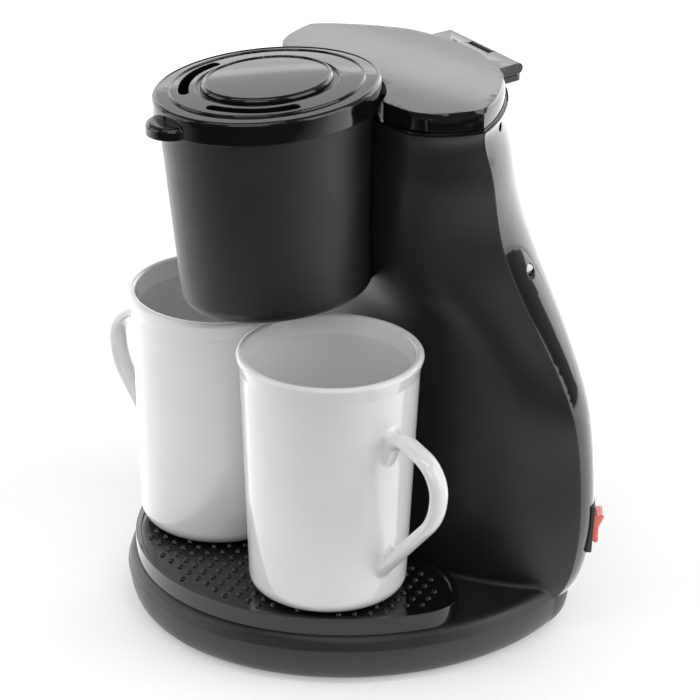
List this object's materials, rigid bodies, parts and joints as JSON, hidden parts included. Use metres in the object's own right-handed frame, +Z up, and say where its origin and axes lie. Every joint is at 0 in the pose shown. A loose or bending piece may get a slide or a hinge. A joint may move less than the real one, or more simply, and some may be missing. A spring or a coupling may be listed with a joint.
{
  "type": "drip coffee maker",
  "caption": "Small upright drip coffee maker: oval capped brew basket over a studded drip tray with cups, bell-shaped water column, hinged tank lid and rocker switch.",
  "frame": {"origin": "on the table under the middle of the machine's outline", "axes": "+Z up, -Y to the front where the cups stand, +X to the right seen from the front, the side of the switch"},
  "size_m": [0.1904, 0.1595, 0.2204],
  "materials": {
    "housing_plastic": "fine moulded texture, satin black",
    "gloss_black": "polished black",
    "base_plastic": "matte dark grey-black",
    "porcelain": "glossy white glazed porcelain",
    "red_plastic": "translucent red, glossy",
    "rubber": "matte",
    "silicone": "milky, satin",
    "inner_plastic": "natural white moulding",
    "filter_plastic": "satin black",
    "filter_mesh": "fine woven nylon",
    "aluminium": "as extruded",
    "steel": "plated"
  },
  "bodies": {
    "machine": {"base_pan": "base_plastic", "rubber_feet": "rubber", "base_screws": "steel", "front_housing": "housing_plastic", "rear_shell": "gloss_black", "side_screws": "steel", "cord_gland": "base_plastic", "water_tank": "gloss_black", "lid_hinge_pin": "steel", "brew_basket": "housing_plastic", "filter_frame": "filter_plastic", "filter_mesh": "filter_mesh", "shower_spout": "inner_plastic", "riser_tube": "inner_plastic", "check_valve": "inner_plastic", "cold_hose": "silicone", "hot_hose": "silicone", "heater_body": "aluminium", "heater_element": "steel", "heater_brackets": "steel", "heater_screws": "steel", "thermostat": "steel", "thermal_fuse": "steel", "switch_body": "base_plastic"},
    "reservoir_lid": {"reservoir_lid": "gloss_black"},
    "basket_cap": {"basket_cap": "gloss_black"},
    "switch_rocker": {"switch_rocker": "red_plastic"},
    "drip_tray": {"drip_tray": "gloss_black"},
    "right_cup": {"right_cup": "porcelain"},
    "left_cup": {"left_cup": "porcelain"}
  },
  "joints": [
    {"name": "reservoir_lid_hinge", "type": "hinge", "parent": "machine", "child": "reservoir_lid", "pos_m": [0, 0.0734, 0.2073], "axis": [-1, 0, 0], "range_deg": [0, 100]},
    {"name": "basket_cap_lift", "type": "slide", "parent": "machine", "child": "basket_cap", "axis": [0, 0, 1], "range_m": [0, 0.04]},
    {"name": "switch_rocker_tilt", "type": "hinge", "parent": "machine", "child": "switch_rocker", "pos_m": [0.07673, 0.06768, 0.043], "axis": [0.7986, -0.6018, 0], "range_deg": [0, 24]},
    {"name": "drip_tray_slide", "type": "slide", "parent": "machine", "child": "drip_tray", "axis": [0, -0.9962, 0.0872], "range_m": [0, 0.1]},
    {"name": "right_cup_slide", "type": "slide", "parent": "drip_tray", "child": "right_cup", "axis": [0, -0.9981, 0.061], "range_m": [0, 0.11]},
    {"name": "left_cup_slide", "type": "slide", "parent": "drip_tray", "child": "left_cup", "axis": [0, -0.9981, 0.061], "range_m": [0, 0.11]}
  ]
}
